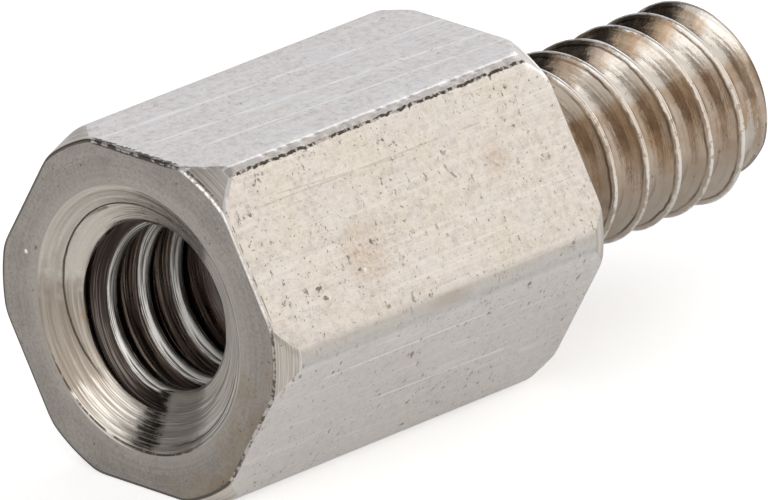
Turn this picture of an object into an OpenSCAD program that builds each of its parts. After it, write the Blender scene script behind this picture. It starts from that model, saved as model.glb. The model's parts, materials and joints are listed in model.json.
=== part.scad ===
// Hexagon standoff, male to female, turned from one piece of drawn hexagon bar.
// One end is drilled, countersunk and tapped, and the other is turned down to a threaded stud.
// The axis lies along X: the stud's shoulder is the plane X = 0, the stud points to +X,
// the tapped face is at -X, and the body lies on one of its flats, with +Z up.
// The stud carries its thread. The hole stays at its drilled diameter, which is the crest of its thread.

/* [Hexagon bar] */
// Width of the bar across opposite flats
hex_width = 4.7625; // [4.3:0.0125:6]
// Length of the hexagon body, from the tapped face to the stud's shoulder
body_length = 6.35; // [4:0.05:25]
// How far the drawn bar's six corners are rounded back from sharp, along the radius
corner_break = 0.073; // [0.02:0.001:0.12]

/* [Turned chamfers] */
// Angle between the chamfers on the hexagon and the axis, in degrees
chamfer_angle = 25; // [15:1:45]
// Depth of the chamfer at the tapped face, along the radius, at the corners
face_chamfer = 0.186; // [0.05:0.002:0.24]
// Depth of the chamfer at the stud's shoulder, along the radius, at the corners
shoulder_chamfer = 0.134; // [0.05:0.002:0.24]

/* [Tapped hole] */
// Diameter of the drilled hole, which becomes the crest of the internal thread
bore_diameter = 2.26; // [1.6:0.02:2.6]
// Solid metal left between the point of the drilled hole and the shoulder
end_wall = 0.7; // [0.4:0.05:3]
// Included angle of the drill's point, in degrees
drill_point_angle = 118; // [90:1:140]
// Diameter of the countersink where it opens on the tapped face
countersink_diameter = 3.7; // [2.8:0.02:4.2]
// Included angle of the countersink, in degrees
countersink_angle = 110; // [80:1:130]

/* [Threaded stud] */
// Outside diameter of the stud, over the crests of its thread
stud_diameter = 2.82; // [2.2:0.02:3.6]
// Length of the stud, from the shoulder to its tip
stud_length = 4.6; // [2:0.05:12]
// Size of the 45 degree chamfer round the stud's tip
tip_chamfer = 0.12; // [0.04:0.01:0.5]
// Distance from one crest of the stud's thread to the next
thread_pitch = 0.635; // [0.4:0.005:0.8]
// Plain length that the die leaves beside the shoulder, where the thread runs out
thread_runout = 0.12; // [0.06:0.01:1]
// Plain length that is left beside the chamfer of the tip, where the thread starts
tip_land = 0.08; // [0.04:0.01:0.3]

/* [Hidden] */

// Facets of the round surfaces
$fn = 96;
// How far a cut runs out past the face that it opens on
cut_past = 0.5;

// The bar's sharp corner radius, and the radius of the land left on each corner
corner_r = hex_width / 2 / cos(30);
land_r = corner_r - corner_break;

// Each chamfer's circle on its end face, and its length along the axis
face_r = land_r - face_chamfer;
face_chamfer_length = face_chamfer / tan(chamfer_angle);
shoulder_r = land_r - shoulder_chamfer;
shoulder_chamfer_length = shoulder_chamfer / tan(chamfer_angle);

// Stations along the axis: the tapped face, the end of the countersink,
// the end of the hole's straight wall and the point of the drill
face_x = -body_length;
bore_r = bore_diameter / 2;
countersink_r = countersink_diameter / 2;
countersink_slope = tan(countersink_angle / 2);
bore_start_x = face_x + (countersink_r - bore_r) / countersink_slope;
point_x = -end_wall;
bore_end_x = point_x - bore_r / tan(drill_point_angle / 2);

stud_r = stud_diameter / 2;
// The stud grows out of the middle of the end wall, so that the two are one piece of metal
stud_root_x = -end_wall / 2;

// The usual 60 degree form of the thread: its depth and half the flat on its crest go with the pitch
flank_slope = tan(30);
thread_depth = 0.6134 * thread_pitch;
crest_half = thread_pitch / 16;
root_r = stud_r - thread_depth;
// The crests stay a hair inside the plain lands at the ends of the stud
crest_drop = 0.002;
crest_r = stud_r - crest_drop;
tip_land_x = stud_length - tip_chamfer - tip_land;
// The foot of the ridge, sunk a little way into the core
ridge_sunk = 0.08 * thread_pitch;
foot_r = root_r - ridge_sunk;
foot_half = crest_half + (thread_depth + ridge_sunk) * flank_slope;
// Where a crest crosses the +Y side, and the steps in one turn of the helix
crest_x = -0.165 * thread_pitch;
turn_steps = 36;
// The helix starts inside the end wall and runs past the tip
first_step = floor((stud_root_x - crest_x) / thread_pitch * turn_steps);
last_step = ceil((stud_length + foot_half - crest_x) / thread_pitch * turn_steps);

// Lays a shape that is drawn about Z along the X axis.
module along_x() {
    rotate([0, 90, 0]) children();
}

// Turns a profile of [radius, place along the axis] points into a solid about the X axis.
module turned(profile) {
    along_x() rotate_extrude() polygon(profile);
}

// The drawn bar, with a flat on top and a flat below.
module hexagon_bar() {
    translate([face_x, 0, 0])
        along_x()
            linear_extrude(height = body_length)
                rotate(30) circle(r = corner_r, $fn = 6);
}

// What the lathe leaves of the bar: the corner lands and a chamfer at each end.
module turned_envelope() {
    turned([
        [0, face_x],
        [face_r, face_x],
        [land_r, face_x + face_chamfer_length],
        [land_r, -shoulder_chamfer_length],
        [shoulder_r, 0],
        [0, 0],
    ]);
}

// The blind hole: countersink, straight wall and the cone of the drill's point.
module tapped_hole() {
    turned([
        [0, face_x - cut_past],
        [countersink_r + cut_past * countersink_slope, face_x - cut_past],
        [bore_r, bore_start_x],
        [bore_r, bore_end_x],
        [0, point_x],
    ]);
}

// The stud before it is threaded, with a chamfered tip.
module stud_blank() {
    turned([
        [0, stud_root_x],
        [stud_r, stud_root_x],
        [stud_r, stud_length - tip_chamfer],
        [stud_r - tip_chamfer, stud_length],
        [0, stud_length],
    ]);
}

// What the die leaves of the blank below the grooves: the core, and a land at each end with a 45 degree cone.
module stud_core() {
    turned([
        [0, stud_root_x],
        [stud_r, stud_root_x],
        [stud_r, thread_runout],
        [root_r, thread_runout + thread_depth],
        [root_r, tip_land_x - thread_depth],
        [stud_r, tip_land_x],
        [stud_r, stud_length - tip_chamfer],
        [stud_r - tip_chamfer, stud_length],
        [0, stud_length],
    ]);
}

// The corners of the ridge's section at one step of the right-hand helix.
function ridge_section(step) =
    let (
        angle = 360 * step / turn_steps,
        x = crest_x + thread_pitch * step / turn_steps
    )
    [
        for (corner = [
            [-foot_half, foot_r],
            [-crest_half, crest_r],
            [crest_half, crest_r],
            [foot_half, foot_r],
        ])
            [x + corner[0], corner[1] * cos(angle), corner[1] * sin(angle)]
    ];

// The ridge of the thread: one section after another along the helix, joined by triangles and capped.
module thread_ridge() {
    steps = last_step - first_step;
    end = 4 * steps;
    polyhedron(
        points = [for (step = [first_step:last_step]) each ridge_section(step)],
        faces = concat(
            [[3, 2, 1], [3, 1, 0]],
            [
                for (step = [0:steps - 1], side = [0:3])
                    let (
                        here = 4 * step + side,
                        beside = 4 * step + (side + 1) % 4
                    )
                    each [[here, beside, beside + 4], [here, beside + 4, here + 4]]
            ],
            [[end, end + 1, end + 2], [end, end + 2, end + 3]]
        )
    );
}

// The threaded stud. The ridge is trimmed to the blank, so that the chamfer cuts its last turn.
module stud() {
    stud_core();
    intersection() {
        thread_ridge();
        stud_blank();
    }
}

// The whole standoff, in warm nickel plate.
module hex_standoff() {
    color([0.80, 0.77, 0.73])
        union() {
            difference() {
                intersection() {
                    hexagon_bar();
                    turned_envelope();
                }
                tapped_hole();
            }
            stud();
        }
}

hex_standoff();
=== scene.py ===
# %% [markdown]
# # A hex standoff in nickel plate
# A standoff holds a circuit board away from a panel. This one is a length of drawn hexagon bar: the lathe
# has cut a threaded stud on one end, and has drilled, countersunk and tapped the other. The solid comes
# from the CAD. This script makes the skin that is seen: both threads with their burrs, the worn edges,
# the metal and the light. First the frame is loaded, and the box of the CAD model is kept, because the
# finished model has to stay inside it.

# %% Load the frame
import json
import math

import bpy
import numpy as np
from mathutils import Matrix, Vector


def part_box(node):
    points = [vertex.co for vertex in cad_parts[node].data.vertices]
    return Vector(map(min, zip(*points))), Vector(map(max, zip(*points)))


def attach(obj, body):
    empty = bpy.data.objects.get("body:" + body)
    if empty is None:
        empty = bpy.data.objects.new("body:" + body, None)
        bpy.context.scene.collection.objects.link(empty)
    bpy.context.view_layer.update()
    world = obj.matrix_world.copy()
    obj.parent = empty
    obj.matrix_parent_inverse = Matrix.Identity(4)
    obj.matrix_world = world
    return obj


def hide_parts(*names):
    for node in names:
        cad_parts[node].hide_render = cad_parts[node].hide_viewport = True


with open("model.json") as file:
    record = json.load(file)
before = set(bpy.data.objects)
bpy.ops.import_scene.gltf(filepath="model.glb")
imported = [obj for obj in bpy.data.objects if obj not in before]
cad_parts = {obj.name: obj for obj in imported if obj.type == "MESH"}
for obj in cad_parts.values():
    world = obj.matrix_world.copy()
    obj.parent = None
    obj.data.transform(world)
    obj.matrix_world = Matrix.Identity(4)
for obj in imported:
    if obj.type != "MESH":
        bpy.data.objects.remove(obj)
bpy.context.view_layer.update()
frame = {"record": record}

# %% [markdown]
# ## The sizes
# Most sizes can be read from the CAD model itself, so that the skin fits it: the box gives the width of
# the hexagon and both lengths, and the two mounts give the stud's radius and the drilled hole's. The
# turned chamfers and the thread are written here, in millimetres. The thread is the usual 60 degree form
# with 40 turns to the inch.

# %% Sizes from the CAD model
MM = 0.001
low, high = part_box("hex_standoff")
mounts = {mount["name"]: mount["dims"] for mount in frame["record"]["mounts"]}
HEX_WIDTH = (high[2] - low[2]) / MM
APOTHEM = HEX_WIDTH / 2
LAND_R = high[1] / MM
FACE_X = low[0] / MM
STUD_LENGTH = high[0] / MM
STUD_R = mounts["stud"]["r_mm"]
TIP_CHAMFER = STUD_LENGTH - mounts["stud"]["length_mm"]
BORE_R = mounts["tapped_hole"]["r_mm"]
print("hexagon", round(HEX_WIDTH, 4), "body", round(-FACE_X, 3), "stud", STUD_R, round(STUD_LENGTH, 3))

# %% Sizes of the turned forms and the thread
CHAMFER_SLOPE = math.tan(math.radians(25))
FACE_CHAMFER = 0.166
SHOULDER_CHAMFER = 0.134
FACE_R = LAND_R - FACE_CHAMFER
SHOULDER_R = LAND_R - SHOULDER_CHAMFER
CHAMFER_END = FACE_X + (LAND_R - FACE_R) / CHAMFER_SLOPE
SHOULDER_START = (SHOULDER_R - LAND_R) / CHAMFER_SLOPE
SINK_R = 1.85
SINK_SLOPE = math.tan(math.radians(55))
POINT_X = -0.7
POINT_SLOPE = math.tan(math.radians(59))
INCH = 25.4
PITCH = INCH / 40
FLANK_SLOPE = math.tan(math.radians(30))
THREAD_DEPTH = 0.6134 * PITCH
STUD_ROOT_R = STUD_R - THREAD_DEPTH
TAPPED_ROOT_R = 1.42
print("pitch", PITCH, "thread depth", round(THREAD_DEPTH, 3))

# %% [markdown]
# ## A skin in rings
# The whole part is one closed skin. Think of a path drawn on a section of the part: it starts at the
# bottom of the drilled hole, climbs out of it, crosses the face, follows the outside to the shoulder, and
# ends at the middle of the stud's tip. Turned about the axis, that path gives rings of points, and each
# pair of rings is joined by a band of faces. Every ring has the same number of columns, so the bands
# always meet, and the mesh has no holes. A modifier stack could do this too, but rings let each edge fall
# exactly where the lathe left it. Each face also notes its zone, which picks its finish later.

# %% The columns and the skin
SECTORS = 6
CORNER_COLUMNS = 10
FLAT_COLUMNS = 16
SECTOR_COLUMNS = 2 * CORNER_COLUMNS + FLAT_COLUMNS
COLUMNS = SECTORS * SECTOR_COLUMNS
TURN = 2 * math.pi * np.arange(COLUMNS) / COLUMNS
DRAWN, TURNED, FACED, HOLE, THREADED = range(5)


class Skin:
    """Points and faces of one closed surface, gathered ring by ring along the path."""

    def __init__(self):
        self.points = []
        self.faces = []
        self.zones = []

    def add(self, x, radius, angle):
        """Adds one point for each value, and returns their numbers."""
        x, radius, angle = np.broadcast_arrays(x, radius, angle)
        block = np.stack([x, radius * np.cos(angle), radius * np.sin(angle)], axis=-1)
        start = len(self.points)
        self.points.extend(block.reshape(-1, 3))
        return start + np.arange(x.size).reshape(x.shape)

    def face(self, corners, zone):
        """Adds one face, leaving out corners that fall together and faces with no area."""
        corners = [int(c) for i, c in enumerate(corners) if c != corners[i - 1]]
        if len(set(corners)) > 2:
            self.faces.append(corners)
            self.zones.append(zone)

    def band(self, lower, upper, zones):
        """Joins two rings that follow each other on the path. zones is one zone, or one for each column."""
        zones = np.broadcast_to(zones, COLUMNS)
        for i in range(COLUMNS):
            j = (i + 1) % COLUMNS
            self.face([lower[i], lower[j], upper[j], upper[i]], int(zones[i]))

    def bands(self, rings, zone):
        """Joins a row of rings, each to the next."""
        for lower, upper in zip(rings, rings[1:]):
            self.band(lower, upper, zone)

    def fan(self, ring, centre, zone, first):
        """Closes a ring with triangles to one point on the axis."""
        for i in range(COLUMNS):
            j = (i + 1) % COLUMNS
            pair = [ring[j], ring[i]] if first else [ring[i], ring[j]]
            self.face(pair + [centre], zone)


skin = Skin()
print(COLUMNS, "columns round the axis")

# %% Helpers for soft joins and for wear
WEAR_SEED = 440
WEAR_KNOTS = 4096
ROW_SHIFT = 97
WEAR = np.random.default_rng(WEAR_SEED).uniform(-1.0, 1.0, WEAR_KNOTS)


def soft_min(a, b, width):
    """The smaller of two values, with the corner between them rounded over a width."""
    near = np.maximum(width - np.abs(a - b), 0.0)
    return np.minimum(a, b) - near * near / (4.0 * width)


def soft_max(a, b, width):
    """The larger of two values, rounded in the same way."""
    return -soft_min(-a, -b, width)


def ease(value, start, end):
    """Rises smoothly from 0 to 1 between start and end."""
    t = np.clip((value - start) / (end - start), 0.0, 1.0)
    return t * t * (3.0 - 2.0 * t)


def wander(place, row):
    """A smooth wavering between -1 and 1, with one knot at each whole number. row picks another course."""
    cell = np.floor(place)
    t = ease(place - cell, 0.0, 1.0)
    here = (cell + ROW_SHIFT * row).astype(int) % WEAR_KNOTS
    return WEAR[here] * (1.0 - t) + WEAR[(here + 1) % WEAR_KNOTS] * t


print("wear repeats after", WEAR_KNOTS, "knots")

# %% [markdown]
# ## The screw thread
# A thread is a groove that climbs one pitch in each turn. If the rings stayed square to the axis, the
# ridge would cross them at a slant and look like a saw. So the rows lean with the helix instead: each row
# climbs one pitch round the part, and then meets the row one turn further on. At both ends, the rows are
# cut off at a ring: points that pass it, or come too near, become points of the ring. The same helper
# makes the ridges on the stud and the grooves in the hole.

# %% The helix
CREST_EDGE = 0.01
SPARE_TURNS = 2
NEAR_RING = 0.2


def ridge(away, half_width, crest_r, root_r, root_round):
    """Radius of a 60 degree ridge, at a distance along the axis from the middle of its crest."""
    flank = crest_r - (away - half_width) / FLANK_SLOPE
    return soft_min(soft_max(flank, root_r, root_round), crest_r, CREST_EDGE)


def phase(x, angle, crest_x):
    """Distance along the axis from the nearest crest, and the turns gone round since the first."""
    turns = (x - crest_x) / PITCH - angle / (2 * math.pi)
    nearest = np.round(turns)
    return (turns - nearest) * PITCH, nearest + angle / (2 * math.pi)


def helix(start_x, end_x, crest_x, steps, radius, zone):
    """Adds leaning rows between two rings, and returns both rings. steps are parts of one pitch."""
    start_x = np.broadcast_to(start_x, COLUMNS)
    end_x = np.broadcast_to(end_x, COLUMNS)
    way = 1 if end_x[0] > start_x[0] else -1
    turns = np.max(np.abs(end_x - start_x)) / PITCH
    first_turn = math.floor(np.min((start_x - crest_x) * way) / PITCH) - SPARE_TURNS
    wholes = np.arange(first_turn, first_turn + math.ceil(turns) + 3 * SPARE_TURNS)
    rows = np.add.outer(wholes, steps).reshape(-1)
    x = crest_x + PITCH * (way * rows[:, None] + TURN / (2 * math.pi))
    angle = np.broadcast_to(TURN, x.shape)
    margin = NEAR_RING * PITCH / len(steps)
    before = (x - start_x) * way < margin
    after = (end_x - x) * way < margin
    start_ring = skin.add(start_x, radius(start_x, TURN), TURN)
    end_ring = skin.add(end_x, radius(end_x, TURN), TURN)
    number = np.where(before, start_ring, end_ring)
    within = ~(before | after)
    number[within] = skin.add(x[within], radius(x[within], angle[within]), angle[within])
    last = len(rows) - 1
    shift = way * len(steps)
    for j in range(last):
        near, far = np.clip([j + shift, j + 1 + shift], 0, last)
        for i in range(COLUMNS - 1):
            skin.face([number[j, i], number[j, i + 1], number[j + 1, i + 1], number[j + 1, i]], zone)
        skin.face([number[j, -1], number[near, 0], number[far, 0], number[j + 1, -1]], zone)
    return start_ring, end_ring


print("flanks lean", round(math.degrees(math.atan(FLANK_SLOPE))), "degrees")

# %% [markdown]
# ## The tapped hole
# The drill leaves a cone at the bottom and a plain wall. The tap then cuts its groove into that wall, and
# the last turns fade out, because the tap's point is tapered. At the mouth, the groove starts shallow and
# runs out into the countersink. The tap stood a little off the axis and has scraped a shallow second
# cone into the first one, which shows as a crescent with a fine step at its edge.

# %% The crescent at the mouth
CRESCENT_R = 1.47
CRESCENT_STEP = 0.012
DRIFT = 0.12
DRIFT_ANGLE = math.radians(40)
MOUTH_MARGIN = 0.035
MOUTH_ROUND = 0.03
MOUTH_R = TAPPED_ROOT_R + MOUTH_MARGIN
STEP_FADE = 0.04


def crescent_radius(angle):
    """Distance of the crescent's edge from the part's own axis."""
    return CRESCENT_R + DRIFT * np.cos(angle - DRIFT_ANGLE)


def crescent_step(angle):
    """How much deeper the second cone is. It fades out where the groove reaches past the crescent."""
    return CRESCENT_STEP * ease(crescent_radius(angle), MOUTH_R, MOUTH_R + STEP_FADE)


mouth_r = soft_max(crescent_radius(TURN), MOUTH_R, MOUTH_ROUND)
mouth_x = FACE_X + (SINK_R - mouth_r) / SINK_SLOPE
print("thread starts", round(float(mouth_x.min() - FACE_X), 3), "mm in")

# %% Drill point and thread
WALL_END_X = POINT_X - BORE_R / POINT_SLOPE
PLAIN_WALL = 0.3
THREAD_END_X = -3.0
FADE_LENGTH = 0.7
RUN_OUT_TURNS = (-0.6, -0.45)
GROOVE_X = FACE_X + 0.46
GROOVE_HALF_FLAT = 0.055
FLAT_WAVER = 0.012
LEAST_DEPTH = 0.001
CREST_ROUND = 0.06
SINK_ROUND = 0.015
TAPPED_STEPS = [0.0, 0.06, 0.1, 0.17, 0.24, 0.31, 0.36, 0.43, 0.5, 0.57, 0.64, 0.69, 0.76, 0.83, 0.9, 0.94]
DRILL_RADII = (0.3, 0.7, 1.0, BORE_R)


def fullness(turns):
    """Share of the groove's depth: less on the first half turn, and a little more where it runs out."""
    return 0.8 + 0.2 * ease(turns, 0.05, 0.6) + 0.09 * ease(-turns, 0.02, 0.22)


def tapped_radius(x, angle):
    """Radius of the wall with its groove, or of the countersink where that is wider."""
    away, turns = phase(x, angle, GROOVE_X)
    fades = ease(-x, -THREAD_END_X, FADE_LENGTH - THREAD_END_X) * ease(turns, *RUN_OUT_TURNS)
    depth = (TAPPED_ROOT_R - BORE_R) * fades * fullness(turns)
    half_flat = GROOVE_HALF_FLAT + FLAT_WAVER * wander(turns * 13.0, 4)
    groove = ridge(np.abs(away), half_flat, BORE_R + depth + LEAST_DEPTH, BORE_R, CREST_ROUND)
    sink = SINK_R - (x - crescent_step(angle) - FACE_X) * SINK_SLOPE
    return soft_max(groove, sink, SINK_ROUND)


point = skin.add(POINT_X, 0.0, np.zeros(1))[0]
drill_rings = [skin.add(POINT_X - r / POINT_SLOPE, r, TURN) for r in DRILL_RADII]
wall_ring = skin.add(WALL_END_X - PLAIN_WALL, BORE_R, TURN)
thread_end_x = mouth_x + crescent_step(TURN)
deep_ring, mouth_ring = helix(THREAD_END_X, thread_end_x, GROOVE_X, TAPPED_STEPS, tapped_radius, HOLE)
skin.fan(drill_rings[0], point, HOLE, first=True)
skin.bands(drill_rings + [wall_ring, deep_ring], HOLE)
print("tapped", round(THREAD_END_X - FACE_X, 2), "deep, drilled", round(POINT_X - FACE_X, 2))

# %% [markdown]
# ## The countersink
# A slow countersinking bit chatters: it leaves uneven rings on the cone, which are deepest on one side,
# where the bit dug in. The lip between the cone and the face is rubbed round.

# %% Countersink rings
LIP_R = 1.9
LIP_ROUND = 0.03
SINK_RINGS = 22
RING_GAP = 0.003
WAVE_HEIGHT = 0.004
CHATTER_HEIGHT = 0.013
DIG_START = (255, 272)
DIG_END = (325, 355)
degrees = np.degrees(TURN)
dug_in = ease(degrees, *DIG_START) * (1 - ease(degrees, *DIG_END))
sink_rings = [mouth_ring]
for t in np.linspace(0.0, 1.0, SINK_RINGS):
    radius = mouth_r + RING_GAP + (LIP_R - mouth_r - RING_GAP) * t
    cone = soft_max((SINK_R - radius) / SINK_SLOPE, 0.0, LIP_ROUND)
    wave = 0.5 + 0.5 * wander(radius * 24.0, 61)
    chatter = 0.5 + 0.5 * wander(radius * 40.0 + 1.5 * wander(degrees / 9.0, 62), 63)
    relief = (WAVE_HEIGHT * wave + CHATTER_HEIGHT * chatter * dug_in) * math.sin(math.pi * t) ** 0.5
    sink_rings.append(skin.add(FACE_X + cone + relief, radius, TURN))
skin.bands(sink_rings, HOLE)
print(len(sink_rings), "rings on the countersink")

# %% [markdown]
# ## The hexagon
# Six flats come from the drawing die, and the lathe left a narrow land on each corner. It also turned a
# shallow chamfer on the corners at each end, which leaves the curved edges that a nut has too. In each
# column of points the radius is the smaller of two: where the column meets its flat, and the turned
# envelope. The columns slide along the flat towards each end, so that one of them always lies on the
# curved edge. One corner is worn quite round and another is still crisp, with a row of dents.

# %% The columns on the hexagon
CORNER_ROUND = np.array([0.05, 0.03, 0.008, 0.11, 0.05, 0.05])
CORNER_DENT = np.array([0.008, 0.01, 0.016, 0.003, 0.01, 0.012])
CORNER_SHARP = np.array([0.0, 0.0, 0.04, 0.0, 0.0, 0.0])
LEAST_ROUND = 0.006
NICK_ROUND = 0.03
END_ROUND = 0.04
END_LENGTH = 0.35
DENT_WIDTH = 0.02
CHAMFER_JOIN = 0.01
LAND_JOIN = 0.03
local = np.arange(SECTOR_COLUMNS)
rise = np.sin(math.pi / 2 * np.clip(local / CORNER_COLUMNS, 0, 1))
fall = np.sin(math.pi / 2 * np.clip((SECTOR_COLUMNS - local) / CORNER_COLUMNS, 0, 1))
across = -np.cos(math.pi * np.clip((local - CORNER_COLUMNS) / FLAT_COLUMNS, 0, 1))
corner_part = np.where(local < SECTOR_COLUMNS / 2, rise - 1, 1 - fall)
flat_part = np.where(rise < 1, -rise, np.where(fall < 1, fall, across))
on_corner = (local < CORNER_COLUMNS) | (local >= SECTOR_COLUMNS - CORNER_COLUMNS)
ON_CORNER = np.tile(on_corner, SECTORS)
SECTOR = np.repeat(np.arange(SECTORS), SECTOR_COLUMNS)
SECOND_HALF = np.tile(local >= SECTOR_COLUMNS / 2, SECTORS)
CORNER = (SECTOR + SECOND_HALF) % SECTORS


def envelope(x):
    """Radius that the lathe left of each column at a station: the corner lands and both chamfers."""
    by_face = FACE_R + (x - FACE_X) * CHAMFER_SLOPE
    chamfers = soft_min(by_face, SHOULDER_R - x * CHAMFER_SLOPE, CHAMFER_JOIN)
    return soft_min(LAND_R + CORNER_SHARP[CORNER], chamfers, LAND_JOIN)


def hexagon(x):
    """Radius and angle of each column at one station along the axis."""
    turned = envelope(x)
    half_flat = np.arccos(APOTHEM / turned)
    lean = np.tile(corner_part, SECTORS) * math.radians(30) + np.tile(flat_part, SECTORS) * half_flat
    angle = lean + math.radians(30) + SECTOR * math.radians(60)
    side = SECOND_HALF * 2
    nick = np.maximum(wander(x * 9.0, CORNER * 5 + side) - 0.25, 0.0) ** 2
    dent = np.maximum(wander(x * 11.0, CORNER * 7 + side + 40) + 0.1, 0.0)
    dent = dent * CORNER_DENT[CORNER] * np.exp(-((np.abs(lean) - half_flat) / DENT_WIDTH) ** 2)
    from_end = min(x - FACE_X, -x)
    inward = ease(from_end, 0.0, END_LENGTH)
    worn = CORNER_ROUND[CORNER] * inward + END_ROUND * (1 - inward) + LEAST_ROUND + NICK_ROUND * nick
    radius = soft_min(APOTHEM / np.cos(lean), turned, worn)
    return radius - dent * ease(from_end, 0.02, 0.3), angle


print("corner land", round(LAND_R * 2 * (math.pi / 6 - math.acos(APOTHEM / LAND_R)), 3), "mm wide")

# %% Face, hexagon and shoulder edge
BREAK = 0.022
SHOULDER_BREAK = 0.035
SHOULDER_MARGIN = 0.03
FILLET = np.radians([90, 68, 45, 22, 0])
FACE_STEPS = (0.12, 0.3, 0.5, 0.7, 0.86, 0.96)
edge_r, edge_angle = hexagon(FACE_X + BREAK)
face_rings = [sink_rings[-1]]
for t in FACE_STEPS:
    radius = LIP_R + (edge_r - BREAK - LIP_R) * t
    face_rings.append(skin.add(FACE_X, radius, TURN + (edge_angle - TURN) * t))
skin.bands(face_rings, FACED)

stations = [(FACE_X + BREAK * (1 - math.sin(t)), BREAK * (1 - math.cos(t))) for t in FILLET]
chamfer = np.linspace(FACE_X + BREAK, CHAMFER_END, 11)
body = np.linspace(CHAMFER_END, SHOULDER_START, 152)
shoulder_chamfer = np.linspace(SHOULDER_START, -SHOULDER_BREAK, 9)
for span in (chamfer, body, shoulder_chamfer):
    stations += [(x, 0.0) for x in span[1:]]
for t in FILLET[::-1][1:]:
    stations.append((-SHOULDER_BREAK * (1 - math.sin(t)), SHOULDER_BREAK * (1 - math.cos(t))))
shoulder_edge = face_rings[-1]
for x, cut in stations:
    radius, angle = hexagon(x)
    ring = skin.add(x, radius - cut, angle)
    in_chamfer = x <= CHAMFER_END or x > SHOULDER_START + SHOULDER_MARGIN
    skin.band(shoulder_edge, ring, np.where(ON_CORNER & in_chamfer, TURNED, DRAWN))
    shoulder_edge = ring
print(len(stations), "stations along the hexagon")

# %% [markdown]
# ## The threaded stud
# The stud's ridges come from a die, which drags the soft metal a little: the crests are narrow, uneven
# and burred here and there. So the width and the height of each crest waver along the helix. The groove
# starts just off the shoulder, and the tip has a small chamfer that cuts the last turn.

# %% The thread on the stud
SEEN_CREST_X = 2.7
SEEN_CREST_DEGREES = 150
STUD_CREST_X = SEEN_CREST_X - PITCH * SEEN_CREST_DEGREES / 360
CREST_HALF_WIDTH = 0.013
WIDTH_WAVER = 0.009
BURR_WIDTH = 0.022
CREST_WAVER = 0.006
ROOT_ROUND = 0.16
RUN_IN = 0.35 * PITCH
TIP_ROUND = 0.02
STUD_STEPS = [0.02, 0.045, 0.075, 0.11, 0.18, 0.26, 0.34, 0.42]
STUD_STEPS += [0.5, 0.58, 0.66, 0.74, 0.82, 0.89, 0.925, 0.955, 0.98]


def stud_radius(x, angle):
    """Radius of the stud with its ridge, or of the tip chamfer where that is narrower."""
    away, turns = phase(x, angle, STUD_CREST_X)
    burr = np.maximum(wander(turns * 23.0, 3), 0.0) ** 2
    half_width = CREST_HALF_WIDTH + WIDTH_WAVER * wander(turns * 19.0, 1) + BURR_WIDTH * burr * (away > 0)
    crest = STUD_R - CREST_WAVER - CREST_WAVER * wander(turns * 9.0, 2)
    root = crest - (crest - STUD_ROOT_R) * ease(x, 0.0, RUN_IN)
    thread = ridge(np.abs(away), half_width, crest, root, ROOT_ROUND)
    return soft_min(thread, STUD_R - TIP_CHAMFER + (STUD_LENGTH - x), TIP_ROUND)


base_ring, tip_ring = helix(0.0, STUD_LENGTH, STUD_CREST_X, STUD_STEPS, stud_radius, THREADED)
print("stud thread", round(STUD_LENGTH / PITCH, 1), "turns")

# %% Shoulder and tip
SHOULDER_STEPS = (0.04, 0.16, 0.35, 0.6, 0.85)
TIP_STEPS = (0.97, 0.8, 0.5, 0.2)
base_r = stud_radius(0.0, TURN)
shoulder_r, shoulder_angle = hexagon(-SHOULDER_BREAK)
shoulder_rings = [shoulder_edge]
for t in SHOULDER_STEPS:
    radius = (shoulder_r - SHOULDER_BREAK) * (1 - t) + base_r * t
    shoulder_rings.append(skin.add(0.0, radius, shoulder_angle + (TURN - shoulder_angle) * t))
skin.bands(shoulder_rings + [base_ring], TURNED)
tip_r = stud_radius(STUD_LENGTH, TURN)
tip_rings = [tip_ring] + [skin.add(STUD_LENGTH, tip_r * t, TURN) for t in TIP_STEPS]
skin.bands(tip_rings, TURNED)
skin.fan(tip_rings[-1], skin.add(STUD_LENGTH, 0.0, np.zeros(1))[0], TURNED, first=False)
print(len(skin.points), "points on the skin")

# %% The finished piece
mesh = bpy.data.meshes.new("standoff_metal")
mesh.from_pydata([tuple(p * MM) for p in skin.points], [], skin.faces)
mesh.polygons.foreach_set("material_index", skin.zones)
mesh.polygons.foreach_set("use_smooth", [True] * len(mesh.polygons))
mesh.validate()
mesh.update()
standoff = bpy.data.objects.new("standoff_metal", mesh)
bpy.context.scene.collection.objects.link(standoff)
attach(standoff, "root")
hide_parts("hex_standoff")
triangles = sum(len(face) - 2 for face in skin.faces)
print(len(mesh.vertices), "points,", triangles, "triangles")

# %% [markdown]
# ## Shader arithmetic
# Each finish is a small graph of nodes. Building one by hand takes many lines, so a class wraps a node's
# output and lets Python's own signs add Math nodes: `1 - mask * 0.5` becomes two nodes. Every other kind
# of node comes from one method, which takes the node's type, its settings, and what goes into its sockets.

# %% Wires
class Wire:
    """An output in a graph of nodes. Arithmetic on it adds Math nodes."""

    def __init__(self, graph, socket):
        self.graph = graph
        self.socket = socket

    def __add__(self, other):
        return self.graph.math("ADD", self, other)

    def __sub__(self, other):
        return self.graph.math("SUBTRACT", self, other)

    def __rsub__(self, other):
        return self.graph.math("SUBTRACT", other, self)

    def __mul__(self, other):
        return self.graph.math("MULTIPLY", self, other)

    def __truediv__(self, other):
        return self.graph.math("DIVIDE", self, other)

    def __rtruediv__(self, other):
        return self.graph.math("DIVIDE", other, self)

    def __abs__(self):
        return self.graph.math("ABSOLUTE", self)

    __radd__ = __add__
    __rmul__ = __mul__


print("wires are ready")

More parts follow.
